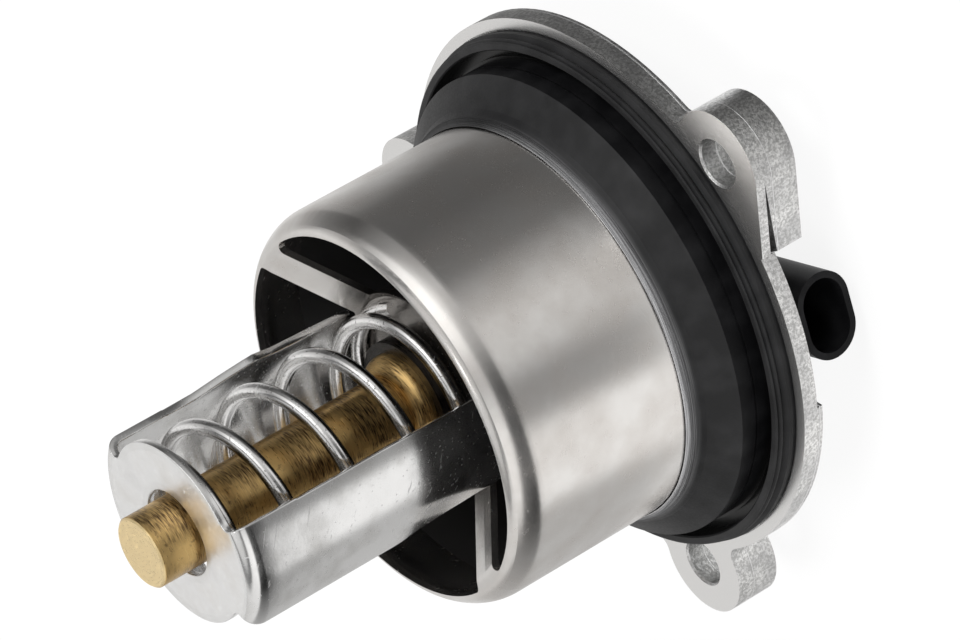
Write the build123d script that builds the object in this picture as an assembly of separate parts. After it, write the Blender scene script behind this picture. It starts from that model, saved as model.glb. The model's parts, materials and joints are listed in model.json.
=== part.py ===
from build123d import *
import math
import os

os.makedirs("parts", exist_ok=True)

# Engine thermostat with a sliding sleeve valve and an electric heater in its wax element.
# Millimetres. The origin is the centre of the machined flange face, on the axis of the valve.
# +Z runs along that axis towards the yoke's end plate, +Y points at the ear beside the connector.

# Sheets and fits
sleeve_wall = 1.3
yoke_sheet = 1.5
running_gap = 0.05
free_gap = 0.3
seat_gap = 0.1

# Valve sleeve, a deep drawn cup whose bottom is dished inwards to a hub
sleeve_radius = 40.0
shoulder_start = 48.2
shoulder_radius = 8.0
shoulder_turn = 40.0
rim_radius = 3.0
hub_face = 43.5
opening_rim = 3.6
arm_half_width = 4.3
opening_outer_round = 1.8
opening_inner_round = 0.6
valve_travel = 9.5

# Yoke, one strip of sheet bent into two legs and an end plate
leg_inner_radius = 21.0
leg_angle = 41.0
leg_half_angle = 26.5
leg_wide_step = 0.5
leg_step_drop = 10.1
leg_apron_angle = 32.5
leg_apron_height = 66.0
leg_slope_top = 80.0
leg_slope_foot = 68.0
plate_height = 100.3
plate_edge_radius = 18.0
plate_bend = 3.2
plate_hole_gap = 1.6
relief_radius = 1.6
relief_rise = 0.9
hub_leg_gap = 0.8
foot_length = 5.0

# Return spring, slightly conical, with closed and ground ends
spring_wire = 3.0
spring_top_radius = 15.2
spring_hub_radius = 17.6
spring_active_turns = 3.4
spring_end_pitch = 3.6
spring_start_angle = 145.0
spring_tip_rise = 0.35
spring_ramp = 0.25
points_per_turn = 12

# Wax element
rod_radius = 7.0
rod_end = 108.3
rod_chamfer = 0.4
cup_wall = 1.4
body_radius = 9.9
body_front = 51.5
body_round = 2.8
body_flange_radius = 13.5
body_flange_thickness = 1.8
neck_radius = 6.2
neck_rear = 16.0
cup_flange_radius = 8.4
cup_flange_thickness = 3.0
crimp_thickness = 1.5
boot_flange_thickness = 3.0
boot_wall = 1.1
boot_length = 44.0
collar_radius = 12.0
collar_height = 4.5
pin_radius = 3.0
pin_wall = 1.05
pin_tip_room = 2.5
guide_ring_wire = 1.2
guide_ring_rear = 3.0

# Sleeve seal and its cage, whose flow windows are on the side away from the connector
cage_gap = 1.4
cage_wall = 1.6
cage_floor = 2.2
window_rise = 2.6
window_height = 4.25
window_angle = 33.0
window_pitch = 45.0
window_count = 3
cage_top_thickness = 1.9
cage_top_width = 4.8
cage_line_depth = 0.35
cage_line_height = 0.5
cage_line_rise = 3.3
seal_skin = 1.1
seal_nose_rise = 2.4
lip_front_rise = 5.5
lip_ring_thickness = 1.0

# Flange gasket, a ring with three moulded ribs on its outside
gasket_gap = 2.1
gasket_width = 2.2
gasket_height = 3.9
gasket_taper = 0.85
gasket_rib_starts = (0.0, 0.55, 0.87)
gasket_rib_depth = 0.4
gasket_bed = 0.4
gasket_corner = 0.25

# Cover casting
flange_thickness = 4.4
flange_margin = 2.6
spigot_wall = 4.9
spigot_height = 1.4
ear_offset = 3.2
ear_radius = 10.4
ear_thickness = 9.3
ear_hole_radius = 4.5
ear_hole_chamfer = 0.4
ear_root_round = 3.0
ear_angles = (90.0, 223.5, 330.0)
flank_angle = 51.0
flank_end_angle = 71.0
flank_recess_depth = 2.4
flank_recess_front = 1.9
flank_recess_back = 5.0
relief_sector_end = 37.5
relief_thickness = 3.2
seat_width = 3.8
seat_depth = 1.6
seat_rise = 0.5
boss_radius = 10.0
boss_height = 10.0
web_thickness = 3.5
dome_radius = 26.0
dome_wall = 4.5
dome_depth = 18.0
dome_round = 2.0
rib_thickness = 4.0
hook_width_angle = 22.0
hook_thickness = 3.5
hook_reach = 3.0
hook_height = 4.6
pin_collar_radius = 5.0
pin_collar_height = 1.5
pin_ring_wire = 1.4

# Heater and its connector
heater_gap = 0.05
heater_foot = 11.0
connector_angle = 54.2
socket_mouth = 53.4
socket_half_width = 8.45
socket_half_height = 5.9
socket_wall = 1.3
socket_depth = 20.0
socket_drop = 9.8
terminal_pitch = 5.8
terminal_width = 2.0
terminal_thickness = 0.8
terminal_recess = 11.0
cap_gap = 0.3
cap_thickness = 2.5
cap_set_back = 2.1
clip_wire = 1.0
clip_bite = 0.9
clip_width = 2.2
clip_gap_angle = 70.0
column_radius = 9.0
nose_radius = 6.0
nose_length = 6.2
nose_ring_wire = 1.4

# Sizes that follow from the ones above
hub_rim = leg_inner_radius - hub_leg_gap
leg_outer_radius = leg_inner_radius + yoke_sheet
opening_radius = sleeve_radius - opening_rim
hub_flat = spring_hub_radius + spring_wire / 2.0 + seat_gap
cage_bore = sleeve_radius + cage_gap
spigot_inner = cage_bore + cage_wall
spigot_outer = spigot_inner + spigot_wall
cage_base = spigot_height + window_rise
cage_shelf = cage_base + window_height
cage_top = cage_shelf + cage_top_thickness
cage_outer = cage_bore + cage_top_width
cage_skirt = cage_outer + seal_skin
seal_nose = cage_top + seal_nose_rise
seal_nose_radius = cage_bore + lip_ring_thickness
cage_slope = (cage_skirt - seal_nose_radius) / (seal_nose - cage_shelf)
cage_top_outer = cage_outer - cage_slope * cage_top_thickness
gasket_inner = spigot_outer + gasket_gap
gasket_radius = gasket_inner + gasket_width
flange_radius = gasket_radius + flange_margin
ear_circle = flange_radius + ear_offset
sleeve_rear = seat_rise + free_gap
plate_under = plate_height - yoke_sheet
leg_step_height = plate_height - plate_bend - leg_step_drop
plate_hole = rod_radius + plate_hole_gap
hub_under = hub_face - sleeve_wall
flange_top = hub_under
flange_base = flange_top - body_flange_thickness
pin_bore = pin_radius - pin_wall
heater_radius = pin_bore - heater_gap
guide_bore = pin_radius + running_gap
crimp_front = body_front - crimp_thickness
cup_flange_rear = crimp_front - cup_flange_thickness
boot_rear = cup_flange_rear - boot_flange_thickness
boot_radius = guide_bore + boot_wall
boot_end = boot_rear + boot_length
pin_end = boot_end - pin_tip_room - boot_wall
cup_bore = rod_radius - cup_wall
cup_end = rod_end - cup_wall
dome_bore = dome_radius - dome_wall
cap_back = cap_set_back - dome_depth
cap_front = cap_back + cap_thickness
cap_radius = dome_bore - cap_gap
nose_tip = nose_length - web_thickness
far = 3.0 * flange_radius


def ring(inner, outer, low, high):
    """A flat round ring about the axis."""
    body = Pos(0, 0, low) * extrude(Circle(outer), high - low)
    return body - Pos(0, 0, low) * extrude(Circle(inner), high - low)


def disc(radius, low, high):
    """A plain round disc about the axis."""
    return Pos(0, 0, low) * extrude(Circle(radius), high - low)


def turned(points, angle=360.0):
    """A solid turned about the axis from (radius, height) points."""
    section = make_face(Polyline(*[(r, 0, z) for r, z in points], close=True))
    return revolve(section, Axis.Z, angle)


def sector(outer, low, high, start, end):
    """A pie slice from one angle to another."""
    reach = outer / math.cos(math.radians((end - start) / 2.0))
    first = (reach * math.cos(math.radians(start)), reach * math.sin(math.radians(start)))
    last = (reach * math.cos(math.radians(end)), reach * math.sin(math.radians(end)))
    slice_face = make_face(Polyline((0, 0), first, last, close=True))
    return Pos(0, 0, low) * extrude(slice_face, high - low)


def torus_ring(centre_radius, wire, height):
    """A round rubber ring about the axis."""
    return Pos(0, 0, height) * Torus(centre_radius, wire / 2.0)


def sleeve_edges(depth):
    """The drawn wall from its rear edge to the hub, set in from the outer face by depth."""
    first_centre = (sleeve_radius - shoulder_radius, shoulder_start)
    turn = math.radians(shoulder_turn)
    shift = shoulder_radius - rim_radius
    second_centre = (first_centre[0] + shift * math.cos(turn), first_centre[1] + shift * math.sin(turn))
    across = second_centre[0] - hub_flat
    above = second_centre[1] - hub_face
    dish = math.atan2(above, across) + math.asin(rim_radius / math.hypot(across, above))
    last = math.pi / 2.0 + dish
    first_size = shoulder_radius - depth
    second_size = rim_radius - depth

    def on_arc(centre, size, angle):
        return (centre[0] + size * math.cos(angle), 0, centre[1] + size * math.sin(angle))

    low = (sleeve_radius - depth, 0, sleeve_rear)
    start = (sleeve_radius - depth, 0, shoulder_start)
    middle = on_arc(first_centre, first_size, turn / 2.0)
    joint = on_arc(first_centre, first_size, turn)
    crown = on_arc(second_centre, second_size, (turn + last) / 2.0)
    slope = on_arc(second_centre, second_size, last)
    floor = hub_face - depth
    run = (slope[2] - floor) / math.tan(dish)
    foot = (slope[0] - run, 0, floor)
    bore = (body_radius + running_gap, 0, floor)
    edges = [
        Line(low, start),
        ThreePointArc(start, middle, joint),
        ThreePointArc(joint, crown, slope),
        Line(slope, foot),
        Line(foot, bore),
    ]
    return edges, low, bore


def valve_sleeve():
    """Deep drawn cup: a turned wall, a rolled shoulder, a dished bridge and two flow openings."""
    outer, outer_low, outer_bore = sleeve_edges(0.0)
    inner, inner_low, inner_bore = sleeve_edges(sleeve_wall)
    outline = outer + inner + [Line(outer_low, inner_low), Line(outer_bore, inner_bore)]
    cup = revolve(make_face(outline), Axis.Z)
    opening = Circle(opening_radius) - Circle(hub_rim) - Rectangle(far, 2.0 * arm_half_width)
    middle_radius = (opening_radius + hub_rim) / 2.0
    outer_corners = []
    inner_corners = []
    for corner in opening.vertices():
        if math.hypot(corner.X, corner.Y) > middle_radius:
            outer_corners.append(corner)
        else:
            inner_corners.append(corner)
    opening = fillet(outer_corners, opening_outer_round)
    inner_corners = [v for v in opening.vertices() if math.hypot(v.X, v.Y) < hub_rim + running_gap]
    opening = fillet(inner_corners, opening_inner_round)
    cutter = Pos(0, 0, hub_under - shoulder_radius) * extrude(opening, far)
    return cup - cutter


def leg_slope():
    """Wedge that slopes the edge of the second leg where it widens towards the sleeve."""
    reach = leg_outer_radius * math.tan(math.radians(leg_apron_angle - leg_half_angle))
    edge = Polyline((0, leg_slope_top), (-reach, leg_slope_top), (-reach, leg_slope_foot), close=True)
    plane = Plane(origin=(0, 0, 0), x_dir=(0, 1, 0), z_dir=(1, 0, 0))
    return extrude(plane * make_face(edge), 2.0 * leg_outer_radius)


def yoke():
    """Sheet yoke: two curved legs with out-turned feet and an end plate with a rod hole."""
    leg_bend_start = plate_height - plate_bend
    bend_centre = leg_outer_radius - plate_bend
    inner_bend = plate_bend - yoke_sheet
    turn = math.radians(45.0)
    reach = plate_hole + relief_radius

    def leg_section(low, foot):
        outer_middle = (
            bend_centre + plate_bend * math.cos(turn),
            0,
            leg_bend_start + plate_bend * math.sin(turn),
        )
        inner_middle = (
            bend_centre + inner_bend * math.cos(turn),
            0,
            leg_bend_start + inner_bend * math.sin(turn),
        )
        edges = [
            Line((reach, 0, plate_height), (bend_centre, 0, plate_height)),
            ThreePointArc(
                (bend_centre, 0, plate_height), outer_middle, (leg_outer_radius, 0, leg_bend_start)
            ),
            ThreePointArc(
                (bend_centre, 0, plate_under), inner_middle, (leg_inner_radius, 0, leg_bend_start)
            ),
            Line((bend_centre, 0, plate_under), (reach, 0, plate_under)),
            Line((reach, 0, plate_under), (reach, 0, plate_height)),
            Line((leg_inner_radius, 0, leg_bend_start), (leg_inner_radius, 0, low)),
        ]
        if foot:
            toe = leg_outer_radius + foot_length
            edges.append(Line((leg_outer_radius, 0, leg_bend_start), (leg_outer_radius, 0, low + yoke_sheet)))
            edges.append(Line((leg_outer_radius, 0, low + yoke_sheet), (toe, 0, low + yoke_sheet)))
            edges.append(Line((toe, 0, low + yoke_sheet), (toe, 0, low)))
            edges.append(Line((toe, 0, low), (leg_inner_radius, 0, low)))
        else:
            edges.append(Line((leg_outer_radius, 0, leg_bend_start), (leg_outer_radius, 0, low)))
            edges.append(Line((leg_outer_radius, 0, low), (leg_inner_radius, 0, low)))
        return make_face(edges)

    body = ring(plate_hole, plate_edge_radius, plate_under, plate_height)
    wide = leg_half_angle + leg_wide_step
    notch_place = plate_edge_radius + relief_rise
    beside = math.degrees(relief_radius / notch_place)
    for side, low_corner in ((0.0, leg_apron_angle), (180.0, wide)):
        long_leg = revolve(leg_section(0.0, True), Axis.Z, 2.0 * leg_half_angle)
        wide_leg = revolve(leg_section(leg_step_height, False), Axis.Z, 2.0 * wide)
        apron = revolve(leg_section(leg_apron_height, False), Axis.Z, leg_apron_angle)
        if side > 0.0:
            apron -= disc(far, leg_slope_top, 2.0 * plate_height)
            apron -= Rot(0, 0, leg_apron_angle - leg_half_angle) * leg_slope()
        body += Rot(0, 0, leg_angle + side - leg_half_angle) * long_leg
        body += Rot(0, 0, leg_angle + side - wide) * wide_leg
        body += Rot(0, 0, leg_angle + side - leg_apron_angle) * apron
        for corner in (wide + beside, -low_corner - beside):
            notch = Rot(0, 0, leg_angle + side + corner) * Pos(notch_place, 0, 0)
            body -= notch * disc(relief_radius, plate_under - plate_bend, plate_height + yoke_sheet)
    return body


def spring_rise(turn, total):
    """Height of the wire's centre above the lower seat after so many turns."""
    seats = plate_under - hub_face
    tip = spring_tip_rise * spring_wire
    active_pitch = (seats - 2.0 * (tip + spring_end_pitch)) / spring_active_turns
    extra = active_pitch - spring_end_pitch

    def gained(at):
        if at <= 0.0:
            return 0.0
        if at < spring_ramp:
            return at * at / (2.0 * spring_ramp)
        return at - spring_ramp / 2.0

    start = 1.0 - spring_ramp / 2.0
    stop = total - 1.0 - spring_ramp / 2.0
    return tip + spring_end_pitch * turn + extra * (gained(turn - start) - gained(turn - stop))


def return_spring():
    """Round wire wound right-handed, closed and ground flat at both ends."""
    total = spring_active_turns + 2.0
    steps = round(total * points_per_turn)
    points = []
    for step in range(steps + 1):
        turn = total * step / steps
        share = step / steps
        radius = spring_hub_radius + (spring_top_radius - spring_hub_radius) * share
        angle = math.radians(spring_start_angle + 360.0 * turn)
        height = hub_face + spring_rise(turn, total)
        points.append((radius * math.cos(angle), radius * math.sin(angle), height))
    path = Spline(*points)
    section = Plane(origin=path @ 0, z_dir=path % 0) * Circle(spring_wire / 2.0)
    wire = sweep(section, path=path)
    return wire & disc(leg_inner_radius, hub_face, plate_under)


def element_cup():
    """Brass wax cup, whose closed tail slides through the yoke's end plate."""
    tail = Pos(0, 0, crimp_front) * extrude(Circle(rod_radius), rod_end - crimp_front)
    tail = chamfer(tail.edges().group_by(Axis.Z)[-1], rod_chamfer)
    cup = tail + disc(cup_flange_radius, cup_flange_rear, crimp_front)
    return cup - disc(cup_bore, cup_flange_rear, cup_end)


def element_guide():
    """Brass guide, turned from bar and rolled over the cup's flange."""
    outline = [
        (guide_bore, neck_rear),
        (neck_radius, neck_rear),
        (neck_radius, flange_base),
        (body_flange_radius, flange_base),
        (body_flange_radius, flange_top),
        (body_radius, flange_top),
        (body_radius, body_front),
        (rod_radius, body_front),
        (rod_radius, crimp_front),
        (cup_flange_radius, crimp_front),
        (cup_flange_radius, boot_rear),
        (guide_bore, boot_rear),
    ]
    body = turned(outline)
    rim = [
        e
        for e in body.edges().filter_by(GeomType.CIRCLE)
        if abs(e.radius - body_radius) < running_gap and abs(e.center().Z - body_front) < running_gap
    ]
    body = fillet(rim, body_round)
    groove_low = neck_rear + guide_ring_rear - guide_ring_wire / 2.0
    groove = ring(guide_bore, guide_bore + guide_ring_wire, groove_low, groove_low + guide_ring_wire)
    return body - groove


def guide_o_ring():
    """Rubber ring that wipes the pin at the mouth of the guide."""
    return torus_ring(guide_bore + guide_ring_wire / 2.0, guide_ring_wire, neck_rear + guide_ring_rear)


def hub_collar():
    """Steel collar pressed on the guide in front of the sleeve's hub."""
    return ring(body_radius, collar_radius, hub_face, hub_face + collar_height)


def pin_boot():
    """Rubber boot between the pin and the wax."""
    outline = [
        (guide_bore, boot_rear),
        (cup_flange_radius, boot_rear),
        (cup_flange_radius, cup_flange_rear),
        (boot_radius, cup_flange_rear),
        (boot_radius, boot_end),
        (0.0, boot_end),
        (0.0, boot_end - boot_wall),
        (guide_bore, boot_end - boot_wall),
    ]
    return turned(outline)


def wax_charge():
    """Wax that fills the cup round the boot."""
    return disc(cup_bore, cup_flange_rear, cup_end) - disc(boot_radius, cup_flange_rear, boot_end)


def working_pin():
    """Hollow steel pin, held in the cover, that the element climbs."""
    outline = [
        (pin_bore, nose_tip),
        (pin_radius, nose_tip),
        (pin_radius, boss_height),
        (pin_collar_radius, boss_height),
        (pin_collar_radius, boss_height + pin_collar_height),
        (pin_radius, boss_height + pin_collar_height),
        (pin_radius, pin_end),
        (0.0, pin_end),
        (0.0, pin_end - pin_wall),
        (pin_bore, pin_end - pin_wall),
    ]
    return turned(outline)


def heater_rod():
    """Electric heater inside the pin, with its foot between the terminals."""
    return disc(heater_radius, -heater_foot, pin_end - pin_wall - pin_tip_room)


def pin_o_ring():
    """Rubber ring round the pin inside the cover's boss."""
    return torus_ring(pin_radius + pin_ring_wire / 2.0, pin_ring_wire, boss_height / 2.0)


def seal_cage():
    """Plastic cage: a rim in the spigot, a wall with flow windows, and the ring for the seal."""
    line_low = spigot_height + cage_line_rise
    line_high = line_low + cage_line_height
    outline = [
        (cage_bore, 0.0),
        (spigot_inner, 0.0),
        (spigot_inner, spigot_height),
        (cage_skirt, spigot_height),
        (cage_skirt, line_low),
        (cage_skirt - cage_line_depth, line_low),
        (cage_skirt - cage_line_depth, line_high),
        (cage_skirt, line_high),
        (cage_skirt, cage_shelf),
        (cage_outer, cage_shelf),
        (cage_top_outer, cage_top),
        (cage_bore, cage_top),
        (cage_bore, cage_shelf),
        (spigot_inner, cage_shelf),
        (spigot_inner, cage_floor),
        (cage_bore, cage_floor),
    ]
    body = turned(outline)
    for index in range(window_count):
        angle = 270.0 + window_pitch * (index - (window_count - 1) / 2.0)
        body -= ring(cage_bore, far, cage_base, cage_shelf) & sector(
            far, cage_base, cage_shelf, angle - window_angle / 2.0, angle + window_angle / 2.0
        )
    return body


def sleeve_seal():
    """Rubber seal moulded over the cage's ring, with a conical face and a lip on the sleeve."""
    lip = cage_top + lip_front_rise
    outline = [
        (cage_outer, cage_shelf),
        (cage_skirt, cage_shelf),
        (seal_nose_radius, seal_nose),
        (sleeve_radius + running_gap + lip_ring_thickness / 2.0, seal_nose),
        (sleeve_radius + running_gap, lip - lip_ring_thickness),
        (sleeve_radius + running_gap, seal_nose - seal_skin),
        (cage_bore, cage_top - seal_skin / 2.0),
        (cage_bore, cage_top),
        (cage_top_outer, cage_top),
    ]
    return turned(outline)


def seal_lip_ring():
    """Dark spring ring that holds the lip down on the sleeve."""
    lip = cage_top + lip_front_rise
    lip_foot = sleeve_radius + running_gap
    outline = [
        (seal_nose_radius, seal_nose),
        (lip_foot + lip_ring_thickness / 4.0, lip),
        (lip_foot, lip),
        (lip_foot, lip - lip_ring_thickness),
        (lip_foot + lip_ring_thickness / 2.0, seal_nose),
    ]
    return turned(outline)


def sleeve_seat():
    """Rubber ring in the cover that the sleeve's rear edge closes on."""
    return ring(cage_bore - seat_width, cage_bore, -seat_depth, seat_rise)


def flange_gasket():
    """Moulded gasket in its bed round the cage, with ribs on its tapered outside."""
    points = [(gasket_inner, -gasket_bed), (gasket_radius, -gasket_bed), (gasket_radius, 0.0)]
    ends = gasket_rib_starts[1:] + (1.0,)
    for start, end in zip(gasket_rib_starts, ends):
        low = start * gasket_height
        rise = (end - start) * gasket_height
        edge = gasket_radius + gasket_rib_depth / 2.0 - gasket_taper * start
        points.append((edge, low + rise * 0.42))
        points.append((edge, low + rise * 0.66))
        if end < 1.0:
            points.append((gasket_radius - gasket_rib_depth / 2.0 - gasket_taper * end, low + rise))
    points.append((gasket_radius - gasket_taper, gasket_height))
    points.append((gasket_inner + gasket_corner, gasket_height))
    points.append((gasket_inner, gasket_height - gasket_corner))
    return turned(points)


def ear_outline():
    """Flange disc with its ears and rounded roots, as one flat outline."""
    outline = Circle(flange_radius)
    for angle in ear_angles:
        outline += Rot(0, 0, angle) * Pos(ear_circle, 0) * Circle(ear_radius)
    roots = outline.vertices()
    return fillet(roots, ear_root_round)


def flank_block(low, high, inset):
    """The straight flank that runs from the upper ear down to the rim beside the connector."""
    slope = math.radians(flank_angle)
    side = ear_radius - inset
    tangent = (side * math.sin(slope), ear_circle + side * math.cos(slope))
    end = math.radians(flank_end_angle)
    length = (tangent[1] - math.tan(end) * tangent[0]) / (
        math.sin(slope) + math.tan(end) * math.cos(slope)
    )
    corner = (tangent[0] + length * math.cos(slope), tangent[1] - length * math.sin(slope))
    root = flange_radius - ear_radius
    inner = (root * math.cos(end), root * math.sin(end))
    face = make_face(Polyline((0, ear_circle), tangent, corner, inner, (0, root), close=True))
    return Pos(0, 0, low) * extrude(face, high - low)


def flank_recess():
    """Wedge shaped recess in the flank, nothing at the ear and deepest at its end."""
    outer = flank_block(-ear_thickness, 0.0, -flank_recess_depth)
    strip = outer - flank_block(-ear_thickness, 0.0, flank_recess_depth)
    slope = math.radians(flank_angle)
    tip = (ear_radius * math.sin(slope), -flank_recess_front - seat_gap)
    end = flange_radius * math.cos(math.radians(flank_end_angle)) + ear_radius
    wedge = make_face(
        Polyline(
            (tip[0], 0, tip[1]), (end, 0, -flank_recess_front), (end, 0, -flank_recess_back), close=True
        )
    )
    prism = extrude(Pos(0, far, 0) * wedge, far, dir=(0, -1, 0))
    return strip & prism


def cover_casting():
    """Cast cover: machined flange, three ears, spigot, pin boss, yoke hooks and a rear cup."""
    body = Pos(0, 0, -flange_thickness) * extrude(ear_outline(), flange_thickness)
    bosses = []
    for angle in ear_angles:
        place = Rot(0, 0, angle) * Pos(ear_circle, 0, -ear_thickness)
        body += place * extrude(Circle(ear_radius), ear_thickness)
        bosses.append(place)
        rib = Pos(0, 0, -ear_thickness) * extrude(
            Rot(0, 0, angle)
            * Pos((ear_circle + dome_bore) / 2.0, 0)
            * Rectangle(ear_circle - dome_bore - ear_radius, rib_thickness),
            ear_thickness - flange_thickness,
        )
        body += rib
    body += flank_block(-ear_thickness, 0.0, 0.0)
    body -= flank_recess()
    clear = sector(far, -flange_thickness, -relief_thickness, relief_sector_end, flank_end_angle)
    body -= clear - disc(dome_radius, -flange_thickness, -relief_thickness)
    dome = disc(dome_radius, -dome_depth, 0.0)
    dome = fillet(dome.edges().group_by(Axis.Z)[0], dome_round)
    body += dome
    body += ring(spigot_inner, spigot_outer, 0.0, spigot_height)
    body += disc(boss_radius, 0.0, boss_height)
    body -= ring(gasket_inner, gasket_radius + gasket_rib_depth, -gasket_bed, 0.0)
    body -= ring(cage_bore - seat_width, cage_bore, -seat_depth, 0.0)
    body += yoke_hooks()
    body -= disc(dome_bore, -dome_depth, -web_thickness)
    body -= disc(nose_radius, -web_thickness, nose_tip)
    body -= disc(pin_radius, nose_tip, boss_height)
    ring_low = boss_height / 2.0 - pin_ring_wire / 2.0
    body -= disc(pin_radius + pin_ring_wire, ring_low, ring_low + pin_ring_wire)
    body -= connector_slot()
    body -= disc(dome_bore + clip_bite, cap_back - clip_wire, cap_back)
    for place in bosses:
        hole = place * extrude(Circle(ear_hole_radius), ear_thickness)
        mouth = Pos(0, 0, ear_thickness - ear_hole_chamfer) * Cone(
            ear_hole_radius,
            ear_hole_radius + ear_hole_chamfer,
            ear_hole_chamfer,
            align=(Align.CENTER, Align.CENTER, Align.MIN),
        )
        body -= hole
        body -= place * mouth
    return body


def yoke_hooks():
    """Two cast hooks that hold the feet of the yoke."""
    toe = leg_outer_radius + foot_length
    post_inner = toe + free_gap
    post_outer = post_inner + hook_thickness
    outline = [
        (post_inner, 0.0),
        (post_outer, 0.0),
        (post_outer, hook_height),
        (post_inner - hook_reach, hook_height),
        (post_inner - hook_reach, yoke_sheet + seat_gap),
        (post_inner, yoke_sheet + seat_gap),
    ]
    hooks = None
    for side in (0.0, 180.0):
        hook = Rot(0, 0, leg_angle + side - hook_width_angle / 2.0) * turned(outline, hook_width_angle)
        hooks = hook if hooks is None else hooks + hook
    return hooks


def radial_stadium(half_width, half_height, start, end):
    """An oval bar that lies along the connector's direction."""
    face = SlotOverall(2.0 * half_width, 2.0 * half_height)
    plane = Plane(origin=(start, 0, -socket_drop), x_dir=(0, 1, 0), z_dir=(1, 0, 0))
    return Rot(0, 0, connector_angle) * extrude(plane * face, end - start)


def connector_slot():
    """Slot in the rear cup, open at the back, that the connector's barrel drops into."""
    width = 2.0 * (socket_half_width + cap_gap)
    depth = dome_depth - web_thickness
    block = Pos(dome_radius - dome_wall, 0, -web_thickness - depth / 2.0) * Box(
        2.0 * dome_wall, width, depth
    )
    return Rot(0, 0, connector_angle) * block


def terminal(side):
    """One flat blade from the heater's foot into the socket."""
    offset = side * terminal_pitch / 2.0
    length = socket_mouth - terminal_recess
    blade = Pos(length / 2.0, offset, -socket_drop) * Box(length, terminal_width, terminal_thickness)
    return Rot(0, 0, connector_angle) * blade


def connector_housing():
    """Black plastic plug: a round cap and column in the cover, and the oval socket."""
    body = disc(cap_radius, cap_back, cap_front)
    body += disc(column_radius, cap_front, -web_thickness)
    body += disc(nose_radius - running_gap, -web_thickness, nose_tip)
    body += radial_stadium(socket_half_width, socket_half_height, 0.0, socket_mouth)
    body &= disc(far, cap_back, nose_tip)
    cavity = radial_stadium(
        socket_half_width - socket_wall,
        socket_half_height - socket_wall,
        socket_mouth - socket_depth,
        socket_mouth + socket_wall,
    )
    body -= cavity
    body -= disc(heater_radius, -heater_foot, nose_tip)
    ring_middle = nose_tip / 2.0 - nose_ring_wire / 2.0
    body -= ring(nose_radius - nose_ring_wire, nose_radius, ring_middle, ring_middle + nose_ring_wire)
    for side in (-1.0, 1.0):
        body -= terminal(side)
    return body


def connector_o_ring():
    """Rubber ring in the groove of the plug's nose."""
    return torus_ring(nose_radius - nose_ring_wire / 2.0, nose_ring_wire, nose_tip / 2.0)


def cap_circlip():
    """Open steel ring that keeps the plug in the cover."""
    outer = dome_bore + clip_bite - running_gap
    clip = ring(outer - clip_width, outer, cap_back - clip_wire, cap_back)
    half = clip_gap_angle / 2.0
    return clip - sector(
        far, cap_back - 2.0 * clip_wire, cap_back + clip_wire, connector_angle - half, connector_angle + half
    )


pieces = {
    "cover_casting": cover_casting(),
    "flange_gasket": flange_gasket(),
    "seal_cage": seal_cage(),
    "sleeve_seal": sleeve_seal(),
    "seal_lip_ring": seal_lip_ring(),
    "sleeve_seat": sleeve_seat(),
    "valve_sleeve": valve_sleeve(),
    "hub_collar": hub_collar(),
    "element_guide": element_guide(),
    "element_cup": element_cup(),
    "guide_o_ring": guide_o_ring(),
    "pin_boot": pin_boot(),
    "wax_charge": wax_charge(),
    "working_pin": working_pin(),
    "pin_o_ring": pin_o_ring(),
    "heater_rod": heater_rod(),
    "return_spring": return_spring(),
    "yoke": yoke(),
    "connector_housing": connector_housing(),
    "connector_o_ring": connector_o_ring(),
    "terminal_left": terminal(-1.0),
    "terminal_right": terminal(1.0),
    "cap_circlip": cap_circlip(),
}

for name, shape in pieces.items():
    export_step(shape, f"parts/{name}.step")
    print(name, round(shape.volume, 1))
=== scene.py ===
import bpy
import bmesh
import json
import math
from mathutils import Matrix, Vector

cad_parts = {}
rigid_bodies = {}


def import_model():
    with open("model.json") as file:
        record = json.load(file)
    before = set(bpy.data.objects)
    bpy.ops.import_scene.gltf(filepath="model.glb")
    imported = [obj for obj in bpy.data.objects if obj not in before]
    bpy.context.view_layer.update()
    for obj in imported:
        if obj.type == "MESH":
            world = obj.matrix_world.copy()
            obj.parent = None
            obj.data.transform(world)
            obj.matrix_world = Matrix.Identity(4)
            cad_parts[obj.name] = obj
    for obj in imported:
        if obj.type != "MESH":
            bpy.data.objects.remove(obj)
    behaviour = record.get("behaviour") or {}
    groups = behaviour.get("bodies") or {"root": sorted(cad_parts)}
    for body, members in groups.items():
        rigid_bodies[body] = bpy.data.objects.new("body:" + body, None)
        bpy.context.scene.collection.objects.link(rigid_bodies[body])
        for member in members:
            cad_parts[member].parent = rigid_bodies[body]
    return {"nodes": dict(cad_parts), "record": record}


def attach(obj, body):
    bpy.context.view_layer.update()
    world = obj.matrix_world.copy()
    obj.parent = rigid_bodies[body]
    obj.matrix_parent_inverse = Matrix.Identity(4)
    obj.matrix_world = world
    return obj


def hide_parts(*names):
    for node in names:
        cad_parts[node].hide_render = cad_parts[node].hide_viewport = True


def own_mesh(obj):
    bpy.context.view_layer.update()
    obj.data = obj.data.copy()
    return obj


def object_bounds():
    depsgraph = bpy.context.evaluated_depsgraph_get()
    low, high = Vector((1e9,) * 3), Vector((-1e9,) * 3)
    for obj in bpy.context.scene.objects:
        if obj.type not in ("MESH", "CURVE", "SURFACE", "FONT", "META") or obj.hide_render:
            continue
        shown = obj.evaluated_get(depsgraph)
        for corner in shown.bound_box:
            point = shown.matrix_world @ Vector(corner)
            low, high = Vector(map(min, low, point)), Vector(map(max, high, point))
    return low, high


# Engine thermostat with a sliding sleeve valve, dressed over its CAD solids
for old in list(bpy.data.objects):
    bpy.data.objects.remove(old)

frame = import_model()
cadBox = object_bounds()
nodes = frame["nodes"]
mm = 0.001
print("frame loaded")


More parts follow.
